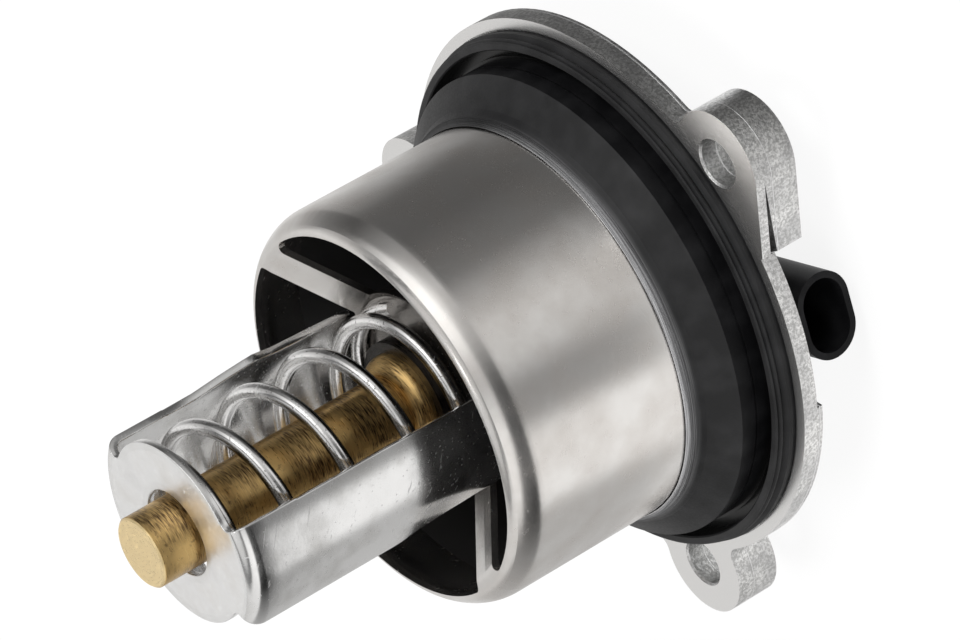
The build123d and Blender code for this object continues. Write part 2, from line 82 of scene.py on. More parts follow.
def startMaterial(name, metallic=0.0):
    mat = bpy.data.materials.new(name)
    mat.use_nodes = True
    tree = mat.node_tree
    shader = tree.nodes["Principled BSDF"]
    shader.inputs["Metallic"].default_value = metallic
    return mat, tree, shader


def addNode(tree, kind, **settings):
    node = tree.nodes.new(kind)
    for key, value in settings.items():
        setattr(node, key, value)
    return node


def feed(tree, socket, value):
    if hasattr(value, "is_linked"):
        tree.links.new(value, socket)
    elif isinstance(value, (tuple, list)):
        socket.default_value = (*value[:3], 1.0)
    else:
        socket.default_value = value


def mathNode(tree, operation, *values):
    node = addNode(tree, "ShaderNodeMath", operation=operation)
    for socket, value in zip(node.inputs, values):
        feed(tree, socket, value)
    return node.outputs[0]


def colourMix(tree, factor, first, second):
    node = addNode(tree, "ShaderNodeMix", data_type="RGBA")
    # inputs 6 and 7 are the two colours of the mix node
    for index, value in ((0, factor), (6, first), (7, second)):
        feed(tree, node.inputs[index], value)
    return node.outputs[2]


def ramp(tree, value, low, high, outLow=0.0, outHigh=1.0):
    node = addNode(tree, "ShaderNodeMapRange", clamp=True)
    for socket, number in zip(node.inputs, (value, low, high, outLow, outHigh)):
        feed(tree, socket, number)
    return node.outputs[0]


def newGroup(name, inputs, outputs):
    group = bpy.data.node_groups.new(name, "ShaderNodeTree")
    for label, value in inputs.items():
        kind = "NodeSocketVector" if isinstance(value, tuple) else "NodeSocketFloat"
        socket = group.interface.new_socket(name=label, in_out="INPUT", socket_type=kind)
        socket.default_value = value
    for label in outputs:
        group.interface.new_socket(name=label, in_out="OUTPUT", socket_type="NodeSocketFloat")
    return group, group.nodes.new("NodeGroupInput"), group.nodes.new("NodeGroupOutput")


def useGroup(tree, group, **values):
    node = addNode(tree, "ShaderNodeGroup", node_tree=group)
    for label, value in values.items():
        node.inputs[label].default_value = value
    coords = addNode(tree, "ShaderNodeTexCoord")
    tree.links.new(coords.outputs["Object"], node.inputs["Position"])
    return node


def addNoise(tree, detail):
    noise = addNode(tree, "ShaderNodeTexNoise")
    noise.inputs["Scale"].default_value = 1.0
    noise.inputs["Detail"].default_value = detail
    return noise


# Sizes in the groups are given in mm and the coordinates are in metres
perMetre = 1000.0
origin = (0.0, 0.0, 0.0)
fullTurn = 2.0 * math.pi


# Grain of a sand-cast or moulded skin: a broad mottle and a fine pitting
def buildGrainGroup():
    group, inp, out = newGroup(
        "castGrain", {"Position": origin, "Grain size": 0.5, "Mottle size": 4.0}, ["Height", "Mottle"]
    )
    for size, detail, result in (("Grain size", 4.0, "Height"), ("Mottle size", 3.0, "Mottle")):
        noise = addNoise(group, detail)
        group.links.new(inp.outputs["Position"], noise.inputs["Vector"])
        group.links.new(mathNode(group, "DIVIDE", perMetre, inp.outputs[size]), noise.inputs["Scale"])
        group.links.new(noise.outputs["Fac"], out.inputs[result])
    return group


# Marks that run round the valve's axis, as a lathe or a drawing die leaves them
def buildRoundMarksGroup():
    group, inp, out = newGroup(
        "roundMarks",
        {"Position": origin, "Spacing": 0.25, "Arc": 6.0},
        ["Height", "Radius", "Height on axis", "Angle"],
    )
    split = addNode(group, "ShaderNodeSeparateXYZ")
    group.links.new(inp.outputs["Position"], split.inputs[0])
    x, y, z = split.outputs
    squares = [mathNode(group, "MULTIPLY", side, side) for side in (x, y)]
    radius = mathNode(group, "SQRT", mathNode(group, "ADD", *squares))
    angle = mathNode(group, "ARCTAN2", y, x)
    across = mathNode(group, "DIVIDE", perMetre, inp.outputs["Spacing"])
    join = addNode(group, "ShaderNodeCombineXYZ")
    for socket, length, scale in zip(join.inputs, (angle, radius, z), (inp.outputs["Arc"], across, across)):
        group.links.new(mathNode(group, "MULTIPLY", length, scale), socket)
    noise = addNoise(group, 3.0)
    group.links.new(join.outputs[0], noise.inputs["Vector"])
    group.links.new(noise.outputs["Fac"], out.inputs["Height"])
    group.links.new(radius, out.inputs["Radius"])
    group.links.new(z, out.inputs["Height on axis"])
    group.links.new(angle, out.inputs["Angle"])
    return group


scratch = {
    "turns": (0.5, 2.1),
    "turnShares": (1.0, 0.6, 1.4),
    "along": 60.0,
    "across": 110.0,
    "edge": (0.66, 0.72),
}


# Sparse handling scratches in two directions, thin and broken
def buildScratchGroup():
    group, inp, out = newGroup(
        "fineScratches", {"Position": origin, "Stretch": 12.0, "Amount": 0.5}, ["Mask"]
    )
    masks = []
    for turn in scratch["turns"]:
        spin = addNode(group, "ShaderNodeMapping")
        spin.inputs["Rotation"].default_value = [turn * share for share in scratch["turnShares"]]
        stretch = addNode(group, "ShaderNodeVectorMath", operation="MULTIPLY")
        join = addNode(group, "ShaderNodeCombineXYZ")
        join.inputs[0].default_value = scratch["along"]
        thin = mathNode(group, "MULTIPLY", inp.outputs["Stretch"], scratch["across"])
        for index in (1, 2):
            group.links.new(thin, join.inputs[index])
        group.links.new(inp.outputs["Position"], spin.inputs[0])
        group.links.new(spin.outputs[0], stretch.inputs[0])
        group.links.new(join.outputs[0], stretch.inputs[1])
        noise = addNoise(group, 2.0)
        group.links.new(stretch.outputs[0], noise.inputs["Vector"])
        masks.append(ramp(group, noise.outputs["Fac"], *scratch["edge"]))
    both = mathNode(group, "MAXIMUM", *masks)
    group.links.new(mathNode(group, "MULTIPLY", both, inp.outputs["Amount"]), out.inputs["Mask"])
    return group


grainGroup = buildGrainGroup()
roundGroup = buildRoundMarksGroup()
scratchGroup = buildScratchGroup()

# Most values of a noise lie between these two
midRange = (0.3, 0.7)


def addBump(tree, shader, height, strength, distance):
    bump = addNode(tree, "ShaderNodeBump")
    bump.inputs["Strength"].default_value = strength
    bump.inputs["Distance"].default_value = distance
    tree.links.new(height, bump.inputs["Height"])
    tree.links.new(bump.outputs[0], shader.inputs["Normal"])


# Roughness from a noise, rougher where there are scratches
def addPolish(tree, shader, noise, limits, scratches, scratchShare, duller=0.0):
    polish = ramp(tree, noise, *midRange, *limits)
    polish = mathNode(tree, "ADD", polish, duller)
    marked = mathNode(tree, "MULTIPLY", scratches.outputs["Mask"], scratchShare)
    rough = mathNode(tree, "ADD", polish, marked)
    tree.links.new(rough, shader.inputs["Roughness"])
    return rough


drawnSteel = {
    "colour": (0.80, 0.785, 0.765),
    "stain": (0.70, 0.67, 0.64),
    "stainRange": (0.35, 0.7),
    "roughness": (0.18, 0.27),
    "grain": {"Grain size": 0.22, "Mottle size": 9.0},
    "marks": {"Spacing": 0.5, "Arc": 40.0},
    "scratches": {"Amount": 0.35},
    "scratchShare": 0.12,
    "grainShare": 0.6,
    "marksShare": 0.4,
    "bump": (0.22, 0.04 * mm),
    # painted shade and painted dark reflection: the inside, seen through the openings, is painted near
    # black and matt, and the hub behind the spring is painted darker
    "paintedInsideShadeColour": (0.012, 0.011, 0.011),
    "innerRoughness": 0.75,
    "innerRadius": 39.1 * mm,
    "innerHeight": 42.4 * mm,
    "paintedHubShadeColour": (0.30, 0.285, 0.27),
    "paintedHubShadeReach": (21.0 * mm, 25.5 * mm),
}


def makeDrawnSteel():
    look = drawnSteel
    mat, tree, shader = startMaterial("drawnSteel")
    grain = useGroup(tree, grainGroup, **look["grain"])
    marks = useGroup(tree, roundGroup, **look["marks"])
    scratches = useGroup(tree, scratchGroup, **look["scratches"])
    stained = ramp(tree, grain.outputs["Mottle"], *look["stainRange"])
    skin = colourMix(tree, stained, look["colour"], look["stain"])
    # painted shade: the inside below the hub is painted near black, and the hub is painted darker as a
    # painted dark reflection
    inside = mathNode(tree, "LESS_THAN", marks.outputs["Radius"], look["innerRadius"])
    under = mathNode(tree, "LESS_THAN", marks.outputs["Height on axis"], look["innerHeight"])
    paintedInsideShade = mathNode(tree, "MULTIPLY", inside, under)
    paintedHubShade = ramp(tree, marks.outputs["Radius"], *look["paintedHubShadeReach"], 1.0, 0.0)
    skin = colourMix(tree, paintedHubShade, skin, look["paintedHubShadeColour"])
    skin = colourMix(tree, paintedInsideShade, skin, look["paintedInsideShadeColour"])
    tree.links.new(skin, shader.inputs["Base Color"])
    rough = addPolish(
        tree, shader, grain.outputs["Mottle"], look["roughness"], scratches, look["scratchShare"]
    )
    innerRough = mathNode(tree, "MULTIPLY", paintedInsideShade, look["innerRoughness"])
    tree.links.new(mathNode(tree, "MAXIMUM", rough, innerRough), shader.inputs["Roughness"])
    tree.links.new(mathNode(tree, "SUBTRACT", 1.0, paintedInsideShade), shader.inputs["Metallic"])
    fine = mathNode(tree, "MULTIPLY", grain.outputs["Height"], look["grainShare"])
    drawn = mathNode(tree, "MULTIPLY", marks.outputs["Height"], look["marksShare"])
    addBump(tree, shader, mathNode(tree, "ADD", fine, drawn), *look["bump"])
    return mat


stripSteel = {
    "colour": (0.86, 0.86, 0.855),
    "dull": (0.72, 0.715, 0.70),
    "dullRange": (0.45, 0.75),
    "roughness": (0.14, 0.24),
    "grain": {"Grain size": 0.7, "Mottle size": 6.0},
    "scratches": {"Amount": 0.6, "Stretch": 16.0},
    "scratchShare": 0.25,
    "bump": (0.10, 0.05 * mm),
    # the end plate is a little duller than the legs
    "plateHeight": 100.2 * mm,
    "plateDulling": 0.16,
}


def makeStripSteel():
    look = stripSteel
    mat, tree, shader = startMaterial("stripSteel", 1.0)
    grain = useGroup(tree, grainGroup, **look["grain"])
    marks = useGroup(tree, roundGroup)
    scratches = useGroup(tree, scratchGroup, **look["scratches"])
    dull = ramp(tree, grain.outputs["Mottle"], *look["dullRange"])
    tree.links.new(colourMix(tree, dull, look["colour"], look["dull"]), shader.inputs["Base Color"])
    onPlate = mathNode(tree, "GREATER_THAN", marks.outputs["Height on axis"], look["plateHeight"])
    duller = mathNode(tree, "MULTIPLY", onPlate, look["plateDulling"])
    addPolish(
        tree, shader, grain.outputs["Mottle"], look["roughness"], scratches, look["scratchShare"], duller
    )
    addBump(tree, shader, grain.outputs["Height"], *look["bump"])
    return mat


springSteel = {
    "colour": (0.92, 0.915, 0.91),
    "pit": (0.24, 0.23, 0.22),
    "pitRange": (0.60, 0.72),
    "roughness": (0.12, 0.24),
    "grain": {"Grain size": 0.45, "Mottle size": 3.0},
    "scratches": {"Amount": 0.8, "Stretch": 9.0},
    "scratchShare": 0.2,
    "bump": (0.14, 0.05 * mm),
    # painted dark reflection: the wire's flanks are painted dark on the side where it crosses in front of
    # the brass
    "flank": (0.06, 0.058, 0.056),
    "flankRange": (0.13, 0.40),
    "turn": math.radians(60.0),
    "turnRange": (0.2, 0.7),
}


def makeSpringSteel():
    look = springSteel
    mat, tree, shader = startMaterial("springSteel", 1.0)
    grain = useGroup(tree, grainGroup, **look["grain"])
    marks = useGroup(tree, roundGroup)
    scratches = useGroup(tree, scratchGroup, **look["scratches"])
    pits = ramp(tree, grain.outputs["Height"], *look["pitRange"])
    skin = colourMix(tree, pits, look["colour"], look["pit"])
    # painted dark reflection: the wire's flanks, on the front side of the coil, are painted near black
    facing = addNode(tree, "ShaderNodeLayerWeight")
    facing.inputs["Blend"].default_value = 0.5
    flank = ramp(tree, facing.outputs["Facing"], *look["flankRange"])
    turned = mathNode(tree, "SUBTRACT", marks.outputs["Angle"], look["turn"])
    front = ramp(tree, mathNode(tree, "COSINE", turned), *look["turnRange"])
    flank = mathNode(tree, "MULTIPLY", flank, front)
    tree.links.new(colourMix(tree, flank, skin, look["flank"]), shader.inputs["Base Color"])
    addPolish(
        tree, shader, grain.outputs["Mottle"], look["roughness"], scratches, look["scratchShare"]
    )
    addBump(tree, shader, grain.outputs["Height"], *look["bump"])
    return mat


turnedBrass = {
    "colour": (0.66, 0.45, 0.185),
    "bright": (0.86, 0.68, 0.38),
    "tarnish": (0.13, 0.08, 0.04),
    "wornRange": (0.40, 0.66),
    "clearRange": (0.38, 0.62),
    "stainRange": (0.62, 0.74, 0.0, 0.7),
    "roughness": (0.24, 0.42),
    "marks": {"Spacing": 0.24, "Arc": 3.2},
    "spots": {"Grain size": 1.3, "Mottle size": 7.0},
    "scratches": {"Amount": 0.9, "Stretch": 8.0},
    "scratchShare": 0.15,
    "bump": (0.35, 0.05 * mm),
    # the tail's end face is freshly cut and bright
    "faceHeight": 108.0 * mm,
}


def makeTurnedBrass():
    look = turnedBrass
    mat, tree, shader = startMaterial("turnedBrass", 1.0)
    marks = useGroup(tree, roundGroup, **look["marks"])
    spots = useGroup(tree, grainGroup, **look["spots"])
    scratches = useGroup(tree, scratchGroup, **look["scratches"])
    worn = ramp(tree, marks.outputs["Height"], *look["wornRange"])
    skin = colourMix(tree, worn, look["tarnish"], look["colour"])
    clear = ramp(tree, spots.outputs["Mottle"], *look["clearRange"])
    skin = colourMix(tree, clear, skin, look["colour"])
    stained = ramp(tree, spots.outputs["Height"], *look["stainRange"])
    skin = colourMix(tree, stained, skin, look["tarnish"])
    face = mathNode(tree, "GREATER_THAN", marks.outputs["Height on axis"], look["faceHeight"])
    tree.links.new(colourMix(tree, face, skin, look["bright"]), shader.inputs["Base Color"])
    addPolish(
        tree, shader, marks.outputs["Height"], look["roughness"], scratches, look["scratchShare"]
    )
    addBump(tree, shader, marks.outputs["Height"], *look["bump"])
    return mat


castAlloy = {
    "skinColour": (0.66, 0.66, 0.66),
    "skinPale": (0.90, 0.90, 0.89),
    "paleRange": (0.4, 0.62),
    "pitColour": (0.32, 0.32, 0.315),
    "mottleRange": (0.42, 0.60, 0.0, 0.6),
    "pitRange": (0.52, 0.68, 0.0, 0.75),
    "skinRoughness": 0.30,
    "grain": {"Grain size": 0.24, "Mottle size": 0.6},
    "cloud": {"Grain size": 0.16, "Mottle size": 5.0},
    "marks": {"Spacing": 0.4, "Arc": 3.0},
    "mottleDepth": 1.6,
    "bump": (0.5, 0.12 * mm),
    # the front face is machined; inside the gasket it is painted near black as painted shade
    "faceColour": (0.86, 0.855, 0.845),
    "faceRoughness": 0.27,
    "faceHeight": -0.3 * mm,
    "faceNormal": 0.9,
    "cutDepth": 0.03,
    "paintedFaceShadeColour": (0.03, 0.03, 0.03),
    "paintedFaceShadeRadius": 50.5 * mm,
    # thin raised line where the two halves of the mould met, painted near white along it as a painted
    # highlight
    "seamPaintedHighlight": (0.95, 0.95, 0.95),
    "seamHeight": -3.7 * mm,
    "seamWidth": (0.06 * mm, 0.14 * mm),
    "seamNormal": 0.3,
}


def makeCastAlloy():
    look = castAlloy
    mat, tree, shader = startMaterial("castAlloy", 1.0)
    grain = useGroup(tree, grainGroup, **look["grain"])
    cloud = useGroup(tree, grainGroup, **look["cloud"])
    marks = useGroup(tree, roundGroup, **look["marks"])
    height = marks.outputs["Height on axis"]
    geometry = addNode(tree, "ShaderNodeNewGeometry")
    split = addNode(tree, "ShaderNodeSeparateXYZ")
    tree.links.new(geometry.outputs["Normal"], split.inputs[0])
    upward = split.outputs[2]

    flat = mathNode(tree, "GREATER_THAN", upward, look["faceNormal"])
    nearFace = mathNode(tree, "GREATER_THAN", height, look["faceHeight"])
    machined = mathNode(tree, "MULTIPLY", flat, nearFace)
    # painted shade: the front face inside the gasket's radius is painted near black
    paintedFaceShade = mathNode(tree, "LESS_THAN", marks.outputs["Radius"], look["paintedFaceShadeRadius"])
    paintedFaceShade = mathNode(tree, "MULTIPLY", paintedFaceShade, nearFace)
    away = mathNode(tree, "ABSOLUTE", mathNode(tree, "SUBTRACT", height, look["seamHeight"]))
    seam = ramp(tree, away, *look["seamWidth"], 1.0, 0.0)
    seam = mathNode(tree, "MULTIPLY", seam, mathNode(tree, "LESS_THAN", upward, look["seamNormal"]))

    pale = ramp(tree, cloud.outputs["Mottle"], *look["paleRange"])
    skin = colourMix(tree, pale, look["skinColour"], look["skinPale"])
    mottled = ramp(tree, grain.outputs["Mottle"], *look["mottleRange"])
    skin = colourMix(tree, mottled, skin, look["pitColour"])
    pits = ramp(tree, grain.outputs["Height"], *look["pitRange"])
    skin = colourMix(tree, pits, skin, look["pitColour"])
    # painted highlight: the raised seam line is painted near white
    skin = colourMix(tree, seam, skin, look["seamPaintedHighlight"])
    skin = colourMix(tree, machined, skin, look["faceColour"])
    tree.links.new(colourMix(tree, paintedFaceShade, skin, look["paintedFaceShadeColour"]), shader.inputs["Base Color"])

    smoother = look["faceRoughness"] - look["skinRoughness"]
    rough = mathNode(tree, "MULTIPLY_ADD", machined, smoother, look["skinRoughness"])
    tree.links.new(rough, shader.inputs["Roughness"])

    mottleDepth = mathNode(tree, "MULTIPLY", grain.outputs["Mottle"], look["mottleDepth"])
    castDepth = mathNode(tree, "ADD", mottleDepth, grain.outputs["Height"])
    castDepth = mathNode(tree, "MULTIPLY", castDepth, mathNode(tree, "SUBTRACT", 1.0, machined))
    cutDepth = mathNode(tree, "MULTIPLY", machined, look["cutDepth"])
    cutDepth = mathNode(tree, "MULTIPLY", marks.outputs["Height"], cutDepth)
    depth = mathNode(tree, "ADD", castDepth, cutDepth)
    addBump(tree, shader, mathNode(tree, "ADD", depth, seam), *look["bump"])
    return mat


softBlack = {
    "blackRubber": {
        "colour": (0.008, 0.008, 0.0085),
        "roughness": 0.50,
        "grain": {"Grain size": 0.4, "Mottle size": 6.0},
        "bump": (0.3, 0.03 * mm),
        "shine": 0.22,
    },
    "blackPlastic": {
        "colour": (0.004, 0.004, 0.0045),
        "roughness": 0.42,
        "grain": {"Grain size": 0.25, "Mottle size": 6.0},
        "bump": (0.3, 0.02 * mm),
        "shine": 0.09,
    },
}
dusting = {"gain": 1.6, "add": 0.004, "range": (0.4, 0.75), "roughnessSpread": 0.06}


def makeSoftBlack(name):
    look = softBlack[name]
    mat, tree, shader = startMaterial(name)
    grain = useGroup(tree, grainGroup, **look["grain"])
    dusty = tuple(tone * dusting["gain"] + dusting["add"] for tone in look["colour"])
    dust = ramp(tree, grain.outputs["Mottle"], *dusting["range"])
    tree.links.new(colourMix(tree, dust, look["colour"], dusty), shader.inputs["Base Color"])
    limits = [look["roughness"] + side * dusting["roughnessSpread"] for side in (-1.0, 1.0)]
    rough = ramp(tree, grain.outputs["Height"], *midRange, *limits)
    tree.links.new(rough, shader.inputs["Roughness"])
    shader.inputs["Specular IOR Level"].default_value = look["shine"]
    addBump(tree, shader, grain.outputs["Height"], *look["bump"])
    return mat


# Painted sheen: fine bright rings painted on the rubber lip next to the sleeve, on the side towards the
# light
paintedLipSheen = {
    "colour": (0.62, 0.62, 0.63),
    "from": 40.15 * mm,
    "to": 42.1 * mm,
    "front": 12.7 * mm,
    "marks": {"Spacing": 0.22, "Arc": 2.0},
    "lines": (0.40, 0.60, 0.35, 1.0),
    "turn": math.radians(45.0),
    "turnRange": (-0.2, 0.6, 0.08, 1.0),
}


def paintLipSheen(mat):
    look = paintedLipSheen
    tree = mat.node_tree
    shader = tree.nodes["Principled BSDF"]
    marks = useGroup(tree, roundGroup, **look["marks"])
    # painted sheen: bright rings painted near the sleeve, fading round the axis away from the light
    near = ramp(tree, marks.outputs["Radius"], look["from"], look["to"], 1.0, 0.0)
    turned = mathNode(tree, "SUBTRACT", marks.outputs["Angle"], look["turn"])
    bright = mathNode(tree, "MULTIPLY", near, near)
    for mask in (
        ramp(tree, marks.outputs["Height"], *look["lines"]),
        mathNode(tree, "GREATER_THAN", marks.outputs["Height on axis"], look["front"]),
        mathNode(tree, "GREATER_THAN", marks.outputs["Radius"], look["from"]),
        ramp(tree, mathNode(tree, "COSINE", turned), *look["turnRange"]),
    ):
        bright = mathNode(tree, "MULTIPLY", bright, mask)
    plain = shader.inputs["Base Color"].links[0].from_socket
    tree.links.new(colourMix(tree, bright, plain, look["colour"]), shader.inputs["Base Color"])
    return mat


plainMetal = {
    "marks": {"Spacing": 0.3, "Arc": 4.0},
    "darker": 0.72,
    "darkRange": (0.35, 0.7),
    "roughnessSpread": 0.12,
    "bump": (0.2, 0.03 * mm),
}


def makePlainMetal(name, colour, roughness):
    look = plainMetal
    mat, tree, shader = startMaterial(name, 1.0)
    marks = useGroup(tree, roundGroup, **look["marks"])
    darker = tuple(tone * look["darker"] for tone in colour)
    tone = ramp(tree, marks.outputs["Height"], *look["darkRange"])
    tree.links.new(colourMix(tree, tone, darker, colour), shader.inputs["Base Color"])
    limits = (roughness, roughness + look["roughnessSpread"])
    tree.links.new(ramp(tree, marks.outputs["Height"], *midRange, *limits), shader.inputs["Roughness"])
    addBump(tree, shader, marks.outputs["Height"], *look["bump"])
    return mat


amberWax = {
    "colour": (0.75, 0.60, 0.38),
    "flake": (0.55, 0.30, 0.14),
    "flakeRange": (0.5, 0.7),
    "roughness": (0.35, 0.55),
    "grain": {"Grain size": 0.6, "Mottle size": 3.0},
}


def makeWax():
    look = amberWax
    mat, tree, shader = startMaterial("amberWax")
    grain = useGroup(tree, grainGroup, **look["grain"])
    flakes = ramp(tree, grain.outputs["Height"], *look["flakeRange"])
    tree.links.new(colourMix(tree, flakes, look["colour"], look["flake"]), shader.inputs["Base Color"])
    rough = ramp(tree, grain.outputs["Mottle"], *midRange, *look["roughness"])
    tree.links.new(rough, shader.inputs["Roughness"])
    return mat


materials = {
    "cast_cover": makeCastAlloy(),
    "black_rubber": paintLipSheen(makeSoftBlack("blackRubber")),
    "black_plastic": makeSoftBlack("blackPlastic"),
    "drawn_steel": makeDrawnSteel(),
    "strip_steel": makeStripSteel(),
    "spring_steel": makeSpringSteel(),
    "dark_steel": makePlainMetal("darkSteel", (0.055, 0.05, 0.046), 0.24),
    "turned_brass": makeTurnedBrass(),
    "hardened_steel": makePlainMetal("hardenedSteel", (0.62, 0.62, 0.63), 0.16),
    "amber_wax": makeWax(),
    "contact_tin": makePlainMetal("contactTin", (0.74, 0.74, 0.72), 0.28),
}

slotOf = {part["node"]: part["material_slot"] for part in frame["record"]["subparts"]}
for name, obj in nodes.items():
    obj.data.materials.clear()
    obj.data.materials.append(materials[slotOf[name]])
print("materials ready")


def finishPiece(name, bm, slotName, cadNode, size):
    bmesh.ops.remove_doubles(bm, verts=bm.verts, dist=size["merge"] * mm)
    bmesh.ops.recalc_face_normals(bm, faces=bm.faces)
    mesh = bpy.data.meshes.new(name)
    bm.to_mesh(mesh)
    bm.free()
    for polygon in mesh.polygons:
        polygon.use_smooth = True
    mesh.set_sharp_from_angle(angle=math.radians(size["sharpAngle"]))
    mesh.materials.append(materials[slotName])
    obj = bpy.data.objects.new(name, mesh)
    bpy.context.scene.collection.objects.link(obj)
    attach(obj, "cover")
    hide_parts(cadNode)
    return obj


def spinLine(bm, verts, edges, turn, steps):
    bmesh.ops.spin(
        bm,
        geom=verts + edges,
        cent=origin,
        axis=(0.0, 0.0, 1.0),
        dvec=origin,
        angle=turn,
        steps=steps,
        use_merge=math.isclose(turn, fullTurn),
        use_duplicate=False,
    )


# Lengths of the spring, the yoke and the seal lip are in mm, and their angles in degrees
spring = {
    "wire": 3.0,
    "hubSeat": 43.5,
    "plateSeat": 98.8,
    "hubRadius": 17.6,
    "plateRadius": 15.2,
    "activeTurns": 3.4,
    "endTurns": 2.0,
    "endPitch": 3.6,
    "startAngle": 145.0,
    "tipRise": 0.35,
    "ramp": 0.25,
    "pointsPerTurn": 16,
    "valveLift": 9.5,
    # the curve runs a little inside its control points
    "widening": 1.0065,
    "order": 4,
    "ringSteps": 8,
    "lengthSteps": 6,
    "sharpAngle": 50.0,
    "merge": 0.0005,
}


def springPoints():
    total = spring["activeTurns"] + spring["endTurns"]
    tip = spring["tipRise"] * spring["wire"]
    room = spring["plateSeat"] - spring["hubSeat"]
    activePitch = (room - 2.0 * (tip + spring["endPitch"])) / spring["activeTurns"]
    start = 1.0 - spring["ramp"] / 2.0
    steps = int(total * spring["pointsPerTurn"])

    # turns made at the full pitch, which is reached over a short ramp
    def gained(at):
        if at <= 0.0:
            return 0.0
        if at < spring["ramp"]:
            return at * at / (2.0 * spring["ramp"])
        return at - spring["ramp"] / 2.0

    points = []
    for step in range(steps + 1):
        turn = total * step / steps
        radius = spring["hubRadius"] + (spring["plateRadius"] - spring["hubRadius"]) * step / steps
        radius = radius * spring["widening"]
        angle = math.radians(spring["startAngle"] + 360.0 * turn)
        steeper = gained(turn - start) - gained(turn - total + start)
        rise = tip + spring["endPitch"] * turn + (activePitch - spring["endPitch"]) * steeper
        height = spring["hubSeat"] + rise
        points.append((radius * math.cos(angle) * mm, radius * math.sin(angle) * mm, height * mm, 1.0))
    return points


def buildSpring():
    curve = bpy.data.curves.new("returnSpringLine", "CURVE")
    curve.dimensions = "3D"
    curve.bevel_depth = spring["wire"] * 0.5 * mm
    curve.bevel_resolution = spring["ringSteps"]
    curve.resolution_u = spring["lengthSteps"]
    curve.use_fill_caps = True
    line = curve.splines.new("NURBS")
    points = springPoints()
    line.points.add(len(points) - 1)
    for point, place in zip(line.points, points):
        point.co = place
    line.order_u = spring["order"]
    line.use_endpoint_u = True
    holder = bpy.data.objects.new("springHolder", curve)
    bpy.context.scene.collection.objects.link(holder)
    bpy.context.view_layer.update()
    solid = holder.evaluated_get(bpy.context.evaluated_depsgraph_get())
    mesh = bpy.data.meshes.new_from_object(solid)
    bpy.data.objects.remove(holder)
    bm = bmesh.new()
    bm.from_mesh(mesh)
    bmesh.ops.remove_doubles(bm, verts=bm.verts, dist=spring["merge"] * mm)
    # both ends are ground flat on their seats
    for height, normal in ((spring["hubSeat"], (0, 0, -1)), (spring["plateSeat"], (0, 0, 1))):
        cut = bmesh.ops.bisect_plane(
            bm,
            geom=bm.verts[:] + bm.edges[:] + bm.faces[:],
            dist=1e-7,
            plane_co=(0, 0, height * mm),
            plane_no=normal,
            clear_outer=True,
        )
        edges = [e for e in cut["geom_cut"] if isinstance(e, bmesh.types.BMEdge)]
        bmesh.ops.edgeloop_fill(bm, edges=edges)
    piece = finishPiece("returnSpring", bm, "spring_steel", "return_spring", spring)
    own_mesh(piece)


buildSpring()
print("spring wound")


yokeStrip = {
    "sheet": 1.5,
    "holeRadius": 8.6,
    "plateRadius": 18.0,
    "plateTop": 100.3,
    "plateRings": 5,
    "blendSteps": 6,
    "outerRadius": 22.5,
    "bendRadius": 3.2,
    "bendSteps": 10,
    "footTop": 1.5,
    "footStart": 2.0,
    "toeRadius": 27.5,
    "step": 1.5,
    "edgeRound": 0.16,
    "seamMerge": 0.01,
    "sharpAngle": 50.0,
    "merge": 0.001,
    # heights of the leg's rows, closer together where its edges change
    "legHeights": [
        94.0, 90.5, 87.1, 86.7, 83.0, 80.0, 78.0, 76.0, 73.5, 71.0, 69.0, 67.0, 66.0,
        64.5, 63.0, 62.0, 59.0, 56.0, 53.0, 50.0, 40.0, 30.0, 20.0, 10.0, 3.0,
    ],
    # height on the axis, then the angles of the strip's two edges; the first row is on the plate
    "nearLeg": [
        (200.0, 3.0, 73.5),
        (98.9, 8.6, 68.0),
        (87.1, 8.5, 68.0),
        (86.7, 8.5, 67.5),
        (66.0, 8.5, 67.2),
        (62.0, 12.0, 67.0),
        (50.0, 14.5, 66.5),
        (0.0, 14.5, 66.5),
    ],
    "farLeg": [
        (200.0, 189.0, 253.5),
        (98.9, 194.2, 248.0),
        (87.1, 194.2, 248.0),
        (86.7, 194.7, 247.5),
        (80.0, 194.4, 247.5),
        (73.5, 191.0, 247.5),
        (67.0, 188.4, 247.5),
        (62.0, 192.0, 247.5),
        (50.0, 194.5, 247.5),
        (0.0, 194.5, 247.5),
    ],
}


# The leg's profile, from the plate's rim over the bend and down to the toe
def yokeRows():
    size = yokeStrip
    centreRadius = size["outerRadius"] - size["bendRadius"]
    centreHeight = size["plateTop"] - size["bendRadius"]
    blend = (centreRadius - size["plateRadius"]) / size["blendSteps"]
    rows = [(size["plateRadius"] + blend * k, size["plateTop"]) for k in range(size["blendSteps"] + 1)]
    for k in range(1, size["bendSteps"] + 1):
        turn = math.pi / 2.0 * k / size["bendSteps"]
        radius = centreRadius + size["bendRadius"] * math.sin(turn)
        rows.append((radius, centreHeight + size["bendRadius"] * math.cos(turn)))
    rows += [(size["outerRadius"], height) for height in size["legHeights"]]
    for radius in (size["outerRadius"], size["outerRadius"] + size["footStart"], size["toeRadius"]):
        rows.append((radius, size["footTop"]))
    return rows


def between(upper, lower, share):
    return tuple(upper[k] + (lower[k] - upper[k]) * share for k in (1, 2))


# Angles of the strip's two edges at one point of its profile
def stripEdges(table, radius, height):
    size = yokeStrip
    if height > size["plateTop"] - 1e-6 and radius < size["outerRadius"] - 1.0:
        # the plate's rim runs into the leg's edge in a small hollow round
        room = size["outerRadius"] - size["bendRadius"] - size["plateRadius"]
        share = min(1.0, (radius - size["plateRadius"]) / room)
        return between(table[0], table[1], math.sqrt(max(0.0, 1.0 - (1.0 - share) ** 2)))
    for upper, lower in zip(table[1:], table[2:]):
        if height >= lower[0]:
            share = max(0.0, upper[0] - height) / (upper[0] - lower[0])
            return between(upper, lower, share)
    return table[-1][1:]


